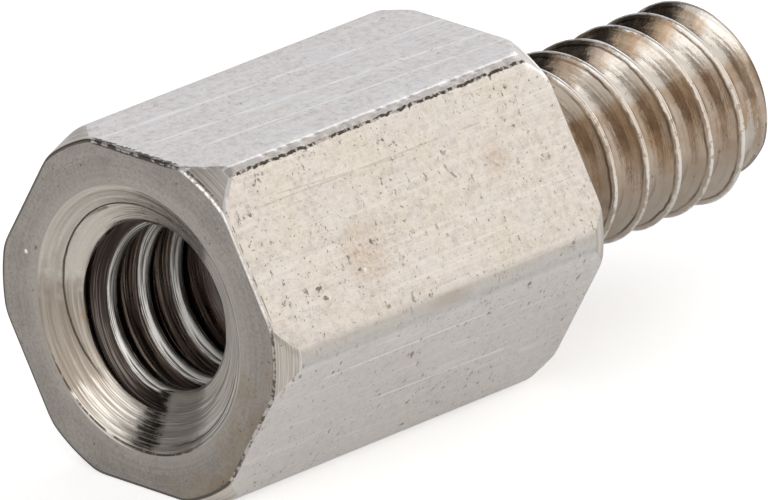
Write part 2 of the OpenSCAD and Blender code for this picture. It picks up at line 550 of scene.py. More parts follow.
# %% Graphs
class Graph:
    """The nodes of one material or of the world."""

    def __init__(self, tree):
        self.tree = tree
        tree.nodes.clear()

    def count(self, title):
        print(title, "with", len(self.tree.nodes), "nodes")

    def node(self, kind, settings=None, sockets=None, output=0):
        node = self.tree.nodes.new(kind)
        for name, value in (settings or {}).items():
            setattr(node, name, value)
        for name, value in (sockets or {}).items():
            if isinstance(value, Wire):
                self.tree.links.new(value.socket, node.inputs[name])
            else:
                node.inputs[name].default_value = value
        return Wire(self, node.outputs[output]) if node.outputs else node

    def math(self, operation, *values):
        return self.node("ShaderNodeMath", {"operation": operation}, dict(enumerate(values)))

    def most(self, *masks):
        """The largest of several masks."""
        largest = masks[0]
        for mask in masks[1:]:
            largest = self.math("MAXIMUM", largest, mask)
        return largest

    def rise(self, value, start, end, start_value=0.0, end_value=1.0):
        """Rises smoothly from one value to another, and stays there."""
        ends = {0: value, 1: start, 2: end, 3: start_value, 4: end_value}
        return self.node("ShaderNodeMapRange", {"interpolation_type": "SMOOTHSTEP"}, ends)

    def fall(self, value, start, end):
        """1 up to the start, falling smoothly to 0 at the end."""
        return 1 - self.rise(value, start, end)

    def line(self, value, middle, half_width, soft):
        """1 where the value is near the middle, fading out over a soft edge."""
        return self.fall(abs(value - middle), half_width, half_width + soft)

    def mix(self, mask, first, second):
        """Mixes two colours."""
        first, second = [c if isinstance(c, Wire) else (*c, 1.0) for c in (first, second)]
        return self.node("ShaderNodeMix", {"data_type": "RGBA"}, {0: mask, 6: first, 7: second}, 2)

    def layers(self, color, *coats):
        """Lays colours over the first, one after the other. Each coat is a mask and a colour."""
        for mask, coat in coats:
            color = self.mix(mask, color, coat)
        return color

    def vector_math(self, operation, *values, output=0):
        return self.node("ShaderNodeVectorMath", {"operation": operation}, dict(enumerate(values)), output)

    def parts(self, vector):
        return [self.node("ShaderNodeSeparateXYZ", None, {0: vector}, axis) for axis in range(3)]

    def vector(self, x, y, z):
        return self.node("ShaderNodeCombineXYZ", None, {0: x, 1: y, 2: z})

    def noise(self, vector, scale=1.0, detail=3.0, rough=0.55):
        values = {"Vector": vector, "Scale": scale, "Detail": detail, "Roughness": rough}
        return self.node("ShaderNodeTexNoise", None, values)


print("graphs are ready")

# %% [markdown]
# ## What all the finishes share
# Every finish works in millimetres on the part itself, so that a pit or a scratch has its real size and
# stays where it is when the part turns. The angle round the axis is counted in sixths of a turn from the
# +Y side, so each whole number is a corner of the hexagon and each half is the middle of a flat. The top
# flat is the one at 1.5, and the two that face the camera are at 2.5 and 3.5.

# %% A finish
CRISP_CORNER = 2
SHARP_LAND_R = LAND_R + CORNER_SHARP[CRISP_CORNER]
SHARP_SIXTHS = 0.5 - math.acos(APOTHEM / SHARP_LAND_R) / math.radians(60)
BURR_MIDDLE = 2.32
TORN_MIDDLE = 1.49


class Finish(Graph):
    """A metal: its graph, the place on the part in millimetres, and the usual kinds of marks."""

    def __init__(self, name):
        self.material = bpy.data.materials.new(name)
        self.material.use_nodes = True
        super().__init__(self.material.node_tree)
        metres = self.node("ShaderNodeTexCoord", output=3)
        self.place = self.vector_math("MULTIPLY", metres, (1 / MM, 1 / MM, 1 / MM))
        self.x, self.y, self.z = self.parts(self.place)
        self.radius = self.math("SQRT", self.y * self.y + self.z * self.z)
        turn = self.math("ARCTAN2", self.z, self.y) / (2 * math.pi)
        self.sixths = self.math("FRACT", turn + 1.0) * SECTORS

    def grain(self, x_scale, y_scale, z_scale, detail=3.0, rough=0.55):
        """Noise that is stretched along the axes. The scales are in knots per millimetre."""
        stretched = self.vector_math("MULTIPLY", self.place, (x_scale, y_scale, z_scale))
        return self.noise(stretched, 1.0, detail, rough)

    def cloud(self, scale, detail=3.0, rough=0.55):
        """Noise over the part. The scale is in knots per millimetre."""
        return self.noise(self.place, scale, detail, rough)

    def side(self, middle, half_width, soft):
        """1 on one side of the part, about an angle in sixths."""
        return self.line(self.sixths, middle, half_width, soft)

    def rings(self, across, scale, detail=3.0):
        """Noise in rings about the axis, that changes with one of the measures of the place."""
        return self.noise(self.vector(across * scale, self.y * 0.7, self.z * 0.7), 1.0, detail)

    def helical(self, crest_x):
        """Distance before or after the nearest crest of the thread, in pitches from -0.5 to 0.5."""
        gone = (self.x - crest_x) / PITCH - self.sixths / SECTORS
        return self.math("FRACT", gone + 0.5) - 0.5

    def spots(self, scale, level, soft, detail=3.0):
        """1 inside irregular spots. A higher level leaves fewer of them."""
        return self.rise(self.cloud(scale, detail, 0.6), level, level + soft)

    def near(self, point, inner, outer, ragged=0.0):
        """1 near a point on the part, fading out between two distances. ragged adds to the distance."""
        distance = self.vector_math("DISTANCE", self.place, point, output=1)
        return self.fall(distance + ragged, inner, outer)

    def scratch(self, start, end, half_width):
        """A straight scratch on the hexagon's side. Both ends are a station and an angle in sixths."""
        slope = (end[1] - start[1]) / (end[0] - start[0])
        length = self.line(self.x, (start[0] + end[0]) / 2, abs(end[0] - start[0]) / 2, 0.2)
        offset = self.sixths - self.x * slope
        return self.line(offset, start[1] - start[0] * slope, half_width, half_width * 1.5) * length

    def to_flat(self):
        """Distance in from the nearest flat of the hexagon."""
        fold = (self.math("FRACT", self.sixths) - 0.5) * math.radians(60)
        return APOTHEM - self.radius * self.math("COSINE", fold)

    def torn_side(self):
        """1 along the top flat, where the edge of the face is torn."""
        return self.side(TORN_MIDDLE, 0.27, 0.05)

    def finish(self, color, rough, bumps):
        """Ends the graph. bumps is a height in millimetres."""
        normal = self.node("ShaderNodeBump", None, {"Distance": MM, "Height": bumps})
        values = {"Base Color": color, "Roughness": rough, "Metallic": 1.0, "Normal": normal}
        shader = self.node("ShaderNodeBsdfPrincipled", None, values)
        self.node("ShaderNodeOutputMaterial", None, {"Surface": shader})
        standoff.data.materials.append(self.material)
        self.count(self.material.name)


def on_flat(x, sixths):
    """The place on the hexagon's side at a station and an angle."""
    angle = math.radians(60 * sixths)
    radius = APOTHEM / math.cos(math.radians(60 * (sixths % 1 - 0.5)))
    return (x, radius * math.cos(angle), radius * math.sin(angle))


def sway(noise, size):
    """Turns a noise, which lies about 0.5, into a shift to both sides."""
    return (noise - 0.5) * size


NICKEL = (0.85, 0.815, 0.775)
WORN = (0.62, 0.58, 0.54)
PALE = (0.93, 0.915, 0.895)
STAIN = (0.54, 0.4, 0.3)
PIT = (0.27, 0.215, 0.145)
DARK = (0.05, 0.04, 0.032)
print("nickel", NICKEL)

# %% [markdown]
# ## Drawn flats
# The bar was pulled through a die, which leaves fine lines along it. The plating over them is thin and
# cloudy, a little yellow in places and bluish in others. The yellow stays off the top flat and the one
# behind it, and is partly a painted reflection of the warm light on the other flats. The lower three flats
# carry painted shade. A few long scratches run with the bar. Small brown pits gather in places, some
# deeper ones stand alone, and two soft stains show where the brass comes through.

# %% Drawn nickel, the plating
YELLOW_AND_WARM_REFLECTION = (0.8, 0.775, 0.68)
BLUISH = (0.81, 0.795, 0.795)
PAINTED_SHADE_GREY = (0.64, 0.62, 0.615)
drawn = Finish("drawn_nickel")
lines = drawn.grain(0.3, 20.0, 20.0)
mottle = drawn.cloud(7.5, 6.0, 0.8)
speckle = drawn.cloud(18.0, 5.0, 0.75)
tone = drawn.cloud(1.2, 4.0, 0.65)
broken = drawn.rise(drawn.grain(1.6, 6.0, 6.0), 0.34, 0.52)
on_front = drawn.rise(drawn.sixths, 1.95, 2.05)
# Painted shade: the lower three flats are tinted darker grey.
lower_flats_shade = drawn.rise(drawn.sixths, 2.96, 3.08)
tint = drawn.layers(
    drawn.mix(drawn.rise(mottle, 0.28, 0.62), WORN, NICKEL),
    # Off the top two flats, the yellow tone is partly a painted reflection of warm light.
    (drawn.rise(tone, 0.5, 0.66, 0.0, 0.5) * on_front, YELLOW_AND_WARM_REFLECTION),
    (drawn.rise(tone, 0.5, 0.36, 0.0, 0.5), BLUISH),
    (drawn.rise(lines, 0.45, 0.75, 0.0, 0.45), PALE),
    (drawn.rise(speckle, 0.5, 0.7, 0.0, 0.55), WORN),
    (lower_flats_shade * 0.55, PAINTED_SHADE_GREY),
)
drawn.count("plating")

# %% Drawn nickel, scratches
BROWN_LINE = (0.52, 0.44, 0.36)
long_scratches = [
    drawn.scratch((-6.3, 1.222), (-0.1, 1.372), 0.006),
    drawn.scratch((-5.84, 1.478), (-0.1, 1.673), 0.007),
    drawn.scratch((-5.4, 1.71), (-0.14, 1.817), 0.004),
    drawn.scratch((-5.24, 3.182), (-1.76, 3.185), 0.003),
    drawn.scratch((-3.9, 3.56), (-1.0, 3.59), 0.003),
    drawn.scratch((-5.6, 2.8), (-2.1, 2.77), 0.003) * 0.4,
]
brown_lines = [
    drawn.scratch((-5.6, 2.206), (-1.6, 2.216), 0.0025),
    drawn.scratch((-5.3, 2.176), (-3.0, 2.23), 0.002),
]
course = drawn.grain(0.08, 3.2, 3.2, 1.0)
faint = drawn.line(drawn.math("FRACT", course * 7.0), 0.5, 0.02, 0.06) * 0.32
scratch = drawn.most(faint, *long_scratches) * broken
tint = drawn.mix(scratch * 0.9, tint, PALE)
tint = drawn.mix(drawn.most(*brown_lines) * broken * 0.4, tint, BROWN_LINE)
print(len(long_scratches), "long scratches and", len(brown_lines), "brown lines")

# %% Drawn nickel, pits
gather = drawn.rise(drawn.cloud(1.3), 0.42, 0.6)
coarse = drawn.rise(drawn.grain(12.5, 7.5, 7.5, 4.0, 0.62), 0.615, 0.67)
clustered = coarse * gather * drawn.rise(on_front, 0.0, 1.0, 0.4, 1.0)
scattered = drawn.spots(22.0, 0.645, 0.05) * drawn.rise(on_front, 0.0, 1.0, 0.45, 0.85)
ragged = sway(speckle, 0.3) + sway(mottle, 0.15)
deep_pits = [
    drawn.near(on_flat(-4.47, 2.7), 0.01, 0.03, ragged),
    drawn.near(on_flat(-5.24, 2.768), 0.015, 0.045, ragged),
    drawn.near(on_flat(-5.3, 2.715), 0.015, 0.045, ragged),
    drawn.near(on_flat(-3.47, 2.934), 0.01, 0.035, ragged),
    drawn.near(on_flat(-0.72, 2.965), 0.02, 0.06, ragged),
    drawn.near(on_flat(-1.54, 3.088), 0.015, 0.05, ragged),
]
pits = drawn.most(clustered, scattered, *deep_pits)
print(len(deep_pits), "deep pits")

# %% Drawn nickel, stains
CORNER_GREY = (0.5, 0.48, 0.45)
blotted = drawn.rise(mottle + sway(speckle, 0.8), 0.42, 0.62, 0.12, 1.0)
large_stain = drawn.near(on_flat(-4.3, 2.63), 0.1, 0.62) * blotted
small_stain = drawn.near(on_flat(-1.45, 2.41), 0.04, 0.36) * blotted
smear = drawn.near(on_flat(-3.15, 2.985), 0.1, 0.62) * drawn.side(2.985, 0.015, 0.03)
fleck = drawn.near(on_flat(-4.4, 2.705), 0.022, 0.035)
fleck = drawn.most(fleck, drawn.near(on_flat(-5.17, 2.768), 0.018, 0.03))
round_corner = drawn.line(drawn.sixths + sway(mottle, 0.02), 3.0, 0.03, 0.04)
tint = drawn.layers(
    tint,
    (drawn.most(large_stain * 0.65, small_stain * 0.65, smear * 0.6), STAIN),
    (pits * 0.85, PIT),
    (fleck, PALE),
    (round_corner * 0.6, CORNER_GREY),
)
drawn.count("pits and stains")

# %% [markdown]
# The edges carry the hardest wear, and thin lines of painted light and shade run along them. Beside the
# crisp corner, a thin painted highlight runs on one side and the plating has broken away on the other.
# Burrs stand along the edge of the face: rubbed white in front, which is partly a painted highlight, with
# a painted shadow just behind them, and torn and black on top. The rest of that edge is a thin rim of
# painted shade, which is broken on the lower flat, and a line of painted shade runs along the shoulder.
# Beside the chamfer, the curved edge of the front flat carries a painted highlight, and the curved edge of
# the top flat, next to the crisp corner, a line of painted shade.

# %% Drawn nickel, the crisp corner
waver = sway(drawn.grain(9.0, 3.0, 3.0, 4.0), 0.014)
jagged = sway(drawn.grain(11.0, 4.0, 4.0, 4.0), 0.024)
torn = drawn.rise(drawn.grain(14.0, 9.0, 9.0, 4.0), 0.42, 0.52)
# Painted highlight: a thin pale line along the upper edge of the crisp corner's land.
corner_highlight_and_rubbed_crest = drawn.line(drawn.sixths + waver, CRISP_CORNER - SHARP_SIXTHS - 0.003, 0.005, 0.005)
chip_line = drawn.line(drawn.sixths + jagged, CRISP_CORNER + SHARP_SIXTHS + 0.006, 0.005, 0.004)
chipped = chip_line * drawn.rise(torn, 0.0, 1.0, 0.35, 1.0)
grey_land = drawn.side(CRISP_CORNER, SHARP_SIXTHS, 0.004)
# Painted shade: a dark line along the shoulder end of the flats.
shoulder_shade = drawn.rise(drawn.x + waver * 0.5, -0.035, -0.015)
drawn.count("crisp corner")

# %% Drawn nickel, the edge of the face
from_face = drawn.x - FACE_X
on_burr = drawn.side(BURR_MIDDLE, 0.42, 0.06)
# The burr's white is partly a painted highlight along the edge of the face.
burr = drawn.fall(from_face + waver * 2, 0.014, 0.026) * on_burr
burr *= drawn.rise(torn, 0.0, 1.0, 1.0, 0.15)
# Painted shadow: a dark line just behind the burr.
burr_shadow = drawn.line(from_face + waver, 0.055, 0.006, 0.01) * on_burr * torn
on_top = drawn.torn_side()
nicks = sway(drawn.cloud(15.0), 0.16)
black = drawn.fall(from_face + nicks, 0.075, 0.088) * on_top
black *= drawn.rise(torn, 0.0, 1.0, 0.5, 1.0)
# Painted shade: a thin dark rim along the rest of the face's edge.
rim_shade = drawn.fall(from_face + waver, 0.02, 0.036) * (1 - drawn.most(on_burr, on_top))
rim_shade *= 1 - torn * drawn.side(3.4, 0.6, 0.1) * 0.75
to_chamfer = FACE_R + from_face * CHAMFER_SLOPE - drawn.radius
curved_edge = drawn.fall(to_chamfer + waver * 0.6, 0.018, 0.026)
# Painted highlight on the front flat's curved edge, and painted shade on the top flat's beside the crisp
# corner.
curved_edge_highlight = curved_edge * drawn.side(2.5, 0.46, 0.02) * drawn.rise(torn, 0.0, 1.0, 1.0, 0.5)
curved_edge_shade = curved_edge * drawn.side(1.87, 0.09, 0.02)
drawn.count("edge of the face")

# %% Drawn nickel, put together
LAND_GREY = (0.54, 0.515, 0.495)
# Real chips and torn plating, joined with the lines of painted shade and shadow.
wear_and_painted_shade = drawn.most(chipped * 0.95, black * 0.95, shoulder_shade * 0.7, burr_shadow * 0.6)
wear_and_painted_shade = drawn.most(wear_and_painted_shade, rim_shade * 0.85, curved_edge_shade * 0.5)
tint = drawn.layers(
    tint,
    (grey_land * 0.85, LAND_GREY),
    (drawn.most(corner_highlight_and_rubbed_crest * 0.95, burr, curved_edge_highlight), PALE),
    (wear_and_painted_shade, DARK),
)
rough = drawn.rise(mottle, 0.3, 0.7, 0.36, 0.27) + pits * 0.2
height = lines * 0.004 + mottle * 0.006 - pits * 0.008 - scratch * 0.002 - chipped * 0.012
drawn.finish(tint, rough, height)

# %% [markdown]
# ## Turned chamfers and shoulder
# The chamfers, the shoulder and the end of the stud were cut in the lathe, so their marks are rings about
# the axis. The cut is bright, with brown streaks where the tool rubbed. The white burr, partly a painted
# highlight, goes on along the chamfers with its painted shadow and the rim of painted shade at the face,
# broken into crumbs. Painted highlights also lie on the chamfer's curved edge and along the shoulder.

# %% Turned nickel, where the marks lie
WEDGE = (FACE_X + 0.05, -0.87, 2.38)
turned = Finish("turned_nickel")
arcs = turned.rings(turned.x + turned.radius * 0.5, 38.0)
clouds = turned.cloud(5.0, 4.0)
specks = turned.spots(16.0, 0.68, 0.05)
near_face = turned.x - FACE_X
on_burr = turned.side(BURR_MIDDLE, 0.46, 0.06)
edge = turned.fall(near_face, 0.01, 0.022)
crumbs = turned.rise(turned.cloud(18.0), 0.42, 0.56)
# The burr's white crumbs are partly a painted highlight along the edge of the face.
burr = edge * on_burr * crumbs
# Painted shadow: a dark line just behind the burr on the chamfers.
burr_shadow = turned.line(near_face, 0.04, 0.008, 0.012) * on_burr * (1 - crumbs)
# Painted shade: the dark rim goes on along the chamfers, broken into crumbs.
rim_shade = edge * (1 - on_burr) * (1 - crumbs * turned.side(3.0, 0.4, 0.1) * 0.7)
outer_edge = turned.line(turned.x, CHAMFER_END, 0.008, 0.02) * turned.rise(clouds, 0.4, 0.6)
# Painted highlight along the chamfer's curved edge on the front side.
curved_edge = turned.fall(turned.to_flat(), 0.026, 0.036) * turned.side(2.15, 0.15, 0.03)
wedge = turned.near(WEDGE, 0.06, 0.1, sway(clouds, 0.1))
# Painted highlight: a pale line along the shoulder's edge by the crisp corner.
shoulder_highlight = turned.line(turned.x, -0.055, 0.02, 0.015) * turned.side(1.96, 0.15, 0.05)
turned.count("marks on the chamfers")

# %% Turned nickel, tints
CUT_BROWN = (0.46, 0.415, 0.36)
CUT_PALE = (0.7, 0.665, 0.62)
RUBBED_BROWN = (0.58, 0.53, 0.47)
tint = turned.layers(
    turned.mix(turned.rise(arcs, 0.34, 0.62), CUT_BROWN, CUT_PALE),
    (turned.rise(clouds, 0.4, 0.7, 0.0, 0.4), RUBBED_BROWN),
    (turned.most(burr, outer_edge * 0.7, shoulder_highlight, curved_edge, wedge), PALE),
    (specks * 0.7, PIT),
    (turned.most(rim_shade * 0.85, burr_shadow * 0.7), DARK),
)
turned.finish(tint, turned.rise(clouds, 0.3, 0.7, 0.38, 0.28), arcs * 0.003 - specks * 0.008)

# %% [markdown]
# ## The end face
# The face was cut off with a blunt tool and never polished. It is a dull grey with the finest of rings,
# darker along its outer edge, and a little brown where oil has dried on it.

# %% Faced nickel, where the marks lie
FLECK = (FACE_X, 2.05, 0.47)
faced = Finish("faced_nickel")
rings = faced.rings(faced.radius, 34.0)
clouds = faced.cloud(2.0, 4.0)
speckle = faced.cloud(22.0, 4.0, 0.7)
specks = faced.spots(13.0, 0.675, 0.05)
to_edge = faced.math("MINIMUM", faced.to_flat(), FACE_R - faced.radius)
ragged = to_edge + sway(speckle, 0.06)
outline = faced.fall(ragged, 0.02, 0.05)
torn_top = faced.fall(ragged, 0.045, 0.07) * faced.torn_side()
oil = faced.rise(clouds, 0.4, 0.62) * faced.side(3.6, 0.35, 0.6)
by_lip = faced.fall(faced.radius + sway(clouds, 0.1), LIP_R, LIP_R + 0.26)
by_edge = faced.fall(to_edge + sway(clouds, 0.5), 0.05, 0.3)
brown_edge = by_edge * faced.side(3.75, 0.3, 0.35)
faced.count("marks on the face")

# %% Faced nickel, tints
FACE_DARK = (0.336, 0.307, 0.282)
FACE_GREY = (0.402, 0.369, 0.342)
RING_GREY = (0.52, 0.485, 0.45)
SPECKLE_BROWN = (0.26, 0.235, 0.21)
LIP_GREY = (0.54, 0.505, 0.465)
DRIED_OIL = (0.3, 0.235, 0.165)
tint = faced.layers(
    faced.mix(faced.rise(clouds, 0.3, 0.7), FACE_DARK, FACE_GREY),
    (faced.rise(rings, 0.35, 0.65, 0.0, 0.3), RING_GREY),
    (faced.rise(speckle, 0.45, 0.65, 0.0, 0.42), SPECKLE_BROWN),
    (by_lip * 0.35, LIP_GREY),
    (faced.most(oil * 0.5, brown_edge * 0.7), DRIED_OIL),
    (faced.most(outline * 0.7, specks * 0.6, torn_top * 0.9), DARK),
    (faced.near(FLECK, 0.02, 0.04), PALE),
)
height = rings * 0.003 + speckle * 0.003 - specks * 0.008
faced.finish(tint, faced.rise(speckle, 0.3, 0.7, 0.5, 0.6), height)

# %% [markdown]
# ## The hole
# The countersink is clean and bright on the right, with thin tool lines; there its tint is raised near
# white as painted light. It is dull on the left and at the lower right. Between them, the bit scraped one
# patch pale, which is partly a painted highlight, and tore up a black burr. The crescent's fine step
# carries painted shade on the upper left. The lip has the tone of the face. The grooves of the thread are
# painted almost black as shade inside the hole, darkest in the first turn and further in, and only the
# crests, scored by the tap, are bright.

# %% The cone, where the marks lie
RUST_SPOT = (FACE_X + 0.36, 1.3, -0.34)
INNER_LINE_R = 1.755
OUTER_LINE_R = 1.845
hole = Finish("tapped_hole")
rings = hole.rings(hole.radius, 22.0)
fine = hole.rings(hole.radius, 60.0, 2.0)
smear = hole.cloud(6.0, 4.0)
drift = (0.0, DRIFT * math.cos(DRIFT_ANGLE), DRIFT * math.sin(DRIFT_ANGLE))
off_axis = hole.vector_math("MULTIPLY", hole.vector_math("SUBTRACT", hole.place, drift), (0.0, 1.0, 1.0))
from_drift = hole.vector_math("LENGTH", off_axis, output=1)
crescent = hole.fall(from_drift, CRESCENT_R - 0.01, CRESCENT_R)
# Painted shade along the crescent's fine step, laid on the upper left only.
crescent_step_shade = hole.line(from_drift + sway(smear, 0.02), CRESCENT_R + 0.004, 0.004, 0.01)
upper_left = hole.line(hole.math("FRACT", hole.sixths / SECTORS + 0.4), 0.51, 0.2, 0.08)
right_side = hole.side(3.3, 1.02, 0.12)
lower_right = hole.line(hole.sixths + sway(smear, 0.2), 4.24, 0.24, 0.22)
from_back = hole.math("FRACT", hole.sixths / SECTORS + 0.5)
dull = hole.line(from_back + sway(smear, 0.1), 0.415, 0.065, 0.065)
jagged = hole.sixths + sway(fine, 0.5) + sway(smear, 0.2)
scraped = hole.line(jagged, 4.86, 0.27, 0.1)
torn = hole.line(jagged, 4.53, 0.06, 0.08) * hole.rise(hole.radius, 1.87, 1.8)
dashes = hole.rise(fine, 0.4, 0.52)
rust = hole.near(RUST_SPOT, 0.04, 0.26) * hole.rise(smear, 0.35, 0.6)
wavering = hole.radius + sway(smear, 0.03)
inner_line = hole.line(wavering, INNER_LINE_R, 0.009, 0.012)
outer_line = hole.line(wavering, OUTER_LINE_R, 0.01, 0.014)
tool_lines = hole.most(inner_line, outer_line) * hole.side(2.85, 1.25, 0.2)
on_face = hole.rise(wavering, 1.852, 1.882)
at_lip = hole.line(hole.radius + sway(fine, 0.05), SINK_R + 0.005, 0.008, 0.014)
at_lip *= hole.side(4.75, 0.65, 0.25)
hole.count("marks on the cone")

# %% The cone, tints
CONE_BROWN = (0.52, 0.475, 0.42)
CONE_GREY = (0.64, 0.6, 0.545)
FINE_BROWN = (0.34, 0.3, 0.25)
CRESCENT_GREY = (0.74, 0.7, 0.63)
DULL_BROWN = (0.33, 0.275, 0.225)
CLEAN_CUT_AND_PAINTED_LIGHT = (0.98, 0.94, 0.89)
DASH_BROWN = (0.38, 0.345, 0.31)
RING_BROWN = (0.24, 0.215, 0.19)
LOWER_BROWN = (0.36, 0.325, 0.29)
TOOL_BROWN = (0.15, 0.13, 0.11)
LIP_TONE = (0.43, 0.397, 0.365)
SCRAPED_AND_HIGHLIGHT = (0.93, 0.87, 0.8)
SCRAPED_BROWN = (0.3, 0.25, 0.2)
LIP_DARK = (0.1, 0.085, 0.07)
RUST = (0.42, 0.25, 0.14)
cone = hole.layers(
    hole.mix(hole.rise(rings, 0.34, 0.66), CONE_BROWN, CONE_GREY),
    (hole.rise(fine, 0.45, 0.62, 0.0, 0.22), FINE_BROWN),
    (crescent * 0.65, CRESCENT_GREY),
    (dull * hole.rise(rings, 0.36, 0.56, 0.4, 0.95), DULL_BROWN),
    # Partly painted light: the right side's tint is raised near white, standing in for light the cone there
    # hardly reflects.
    (right_side * 0.95, CLEAN_CUT_AND_PAINTED_LIGHT),
    (right_side * dashes * 0.3, DASH_BROWN),
    (right_side * hole.rise(rings, 0.54, 0.6, 0.0, 0.5), RING_BROWN),
    (lower_right * 0.78, LOWER_BROWN),
    (tool_lines * 0.75, TOOL_BROWN),
    (on_face, LIP_TONE),
    # The scraped patch is real, and its pale tint is partly a painted highlight.
    (scraped * hole.rise(fine, 0.4, 0.56, 0.9, 0.1), SCRAPED_AND_HIGHLIGHT),
    (scraped * hole.rise(rings, 0.5, 0.62, 0.0, 0.7), SCRAPED_BROWN),
    (at_lip * hole.rise(smear, 0.35, 0.5), LIP_DARK),
    (rust * 0.5, RUST),
    (crescent_step_shade * upper_left * 0.8, DARK),
    (torn * hole.rise(dashes, 0.0, 1.0, 0.45, 0.95), DARK),
)
hole.count("cone")

# %% The thread in the hole
GROOVE_SHADE = (0.066, 0.047, 0.038)
GROOVE_SHADE_STREAK = (0.24, 0.195, 0.16)
FIRST_TURN_SHADE = (0.035, 0.026, 0.022)
FIRST_STREAK = (0.3, 0.27, 0.25)
SCORE = (0.16, 0.14, 0.125)
CREST_BRIGHT = (1.0, 0.98, 0.95)
CREST_GREY = (0.42, 0.395, 0.365)
DEEP_SHADE = (0.12, 0.083, 0.066)
from_groove = hole.helical(GROOVE_X)
streaks = hole.rings(abs(from_groove), 30.0)
crest_lines = hole.rings(abs(from_groove), 48.0, 2.0)
off_cone = hole.radius + (hole.x - FACE_X) * SINK_SLOPE - SINK_R
inside = hole.fall(hole.radius, MOUTH_R - 0.02, MOUTH_R + 0.02)
in_groove = hole.rise(off_cone, 0.02, 0.034) * inside
first = hole.fall(hole.x, FACE_X + 0.62, FACE_X + 0.82)
deep = hole.rise(hole.x, FACE_X + 1.75, FACE_X + 2.35)
crest = hole.line(from_groove + sway(smear, 0.03), 0.365, 0.09, 0.025)
scored = hole.rise(streaks, 0.4, 0.5) * hole.rise(crest_lines, 0.36, 0.44)
bright = hole.mix(scored, SCORE, CREST_BRIGHT)
bright = hole.mix(hole.rise(hole.z, -0.4, 0.5, 0.0, 0.2), bright, CREST_GREY)
# Painted shade: the grooves are tinted near black, darkest in the first turn and further into the hole.
thread = hole.layers(
    hole.mix(hole.rise(streaks, 0.45, 0.66), GROOVE_SHADE, GROOVE_SHADE_STREAK),
    (first * 0.85, FIRST_TURN_SHADE),
    (first * hole.rise(crest_lines, 0.54, 0.62, 0.0, 0.45), FIRST_STREAK),
    (crest, bright),
    (deep * 0.85, DEEP_SHADE),
)
tint = hole.mix(in_groove, cone, thread)
matt = hole.most(right_side * 0.14, crest * in_groove * 0.28, on_face * 0.25)
rough = hole.rise(smear, 0.3, 0.7, 0.34, 0.26) + matt
hole.finish(tint, rough, rings * 0.008 + fine * 0.004 + streaks * 0.004)

# %% [markdown]
# ## The stud's thread
# The die leaves streaks that follow the groove. The plating is thin on the flanks, where the brass gives
# it a bronze tone, and it is greyer underneath. A pale band along the upper side is a painted reflection.
# The rubbed crests are pale and nicked, with a line of painted shade below the burr on the side of the
# shoulder.

# %% Threaded bronze, where the marks lie
stud = Finish("stud_thread")
before_crest = stud.helical(STUD_CREST_X)
streaks = stud.rings(abs(before_crest), 14.0, 4.0)
clouds = stud.cloud(1.7, 4.0)
smear = stud.cloud(7.0, 4.0)
thick = stud.side(2.5, 0.3, 0.4)
crest_edge = stud.radius + sway(smear, 0.09) + thick * 0.018
nicked = stud.rise(stud.cloud(8.0), 0.56, 0.62, 1.0, 0.35)
crest = stud.rise(crest_edge, STUD_R - 0.034, STUD_R - 0.018) * nicked
# Painted shade: a thin dark line below the burr of each crest.
shade = stud.line(before_crest + sway(smear, 0.03), -0.085, 0.006, 0.012)
shade *= stud.rise(clouds, 0.35, 0.6, 0.3, 1.0)
under = stud.rise(stud.sixths, 2.9, 3.5)
# Painted reflection: a pale band along the upper side of the stud.
over = stud.line(stud.sixths + sway(smear, 0.25), 2.0, 0.14, 0.22)
at_tip = stud.line(stud.x + sway(smear, 0.05), STUD_LENGTH - TIP_CHAMFER, 0.03, 0.025)
specks = stud.spots(12.0, 0.66, 0.05)
stud.count("marks on the stud")

# %% Threaded bronze, tints
BRONZE = (0.46, 0.335, 0.23)
PALE_BRONZE = (0.56, 0.46, 0.37)
UNDER_GREY = (0.52, 0.48, 0.43)
PALE_REFLECTION = (0.8, 0.765, 0.715)
STREAK_BROWN = (0.24, 0.165, 0.11)
SHADE_BROWN = (0.1, 0.07, 0.05)
SPECK_BROWN = (0.16, 0.11, 0.08)
CREST_PALE = (0.9, 0.88, 0.85)
CREST_WARM = (0.86, 0.77, 0.68)
CREST_UNDER = (0.6, 0.57, 0.53)
tint = stud.layers(
    stud.mix(stud.rise(clouds, 0.38, 0.62), BRONZE, PALE_BRONZE),
    (under * 0.6, UNDER_GREY),
    (over * 0.75, PALE_REFLECTION),
    (stud.rise(streaks, 0.5, 0.72, 0.0, 0.5), STREAK_BROWN),
    (shade * 0.85, SHADE_BROWN),
    (specks * 0.6, SPECK_BROWN),
)
corner_highlight_and_rubbed_crest = stud.mix(thick, CREST_PALE, CREST_WARM)
corner_highlight_and_rubbed_crest = stud.mix(under * 0.6, corner_highlight_and_rubbed_crest, CREST_UNDER)
tint = stud.mix(stud.most(crest, at_tip * 0.5), tint, corner_highlight_and_rubbed_crest)
stud.finish(tint, stud.rise(smear, 0.3, 0.7, 0.23, 0.15), streaks * 0.004 + smear * 0.004)

# %% [markdown]
# ## Floor and light
# The photo has a plain white ground, and metal shows what it reflects, so the place of each light matters
# more than its strength. A pale floor lies under a soft world, and the softboxes are painted on that
# world. Rays from the camera and mirror rays see the floor a little brighter than its own shading, so it
# is white around the part and keeps a faint shadow.

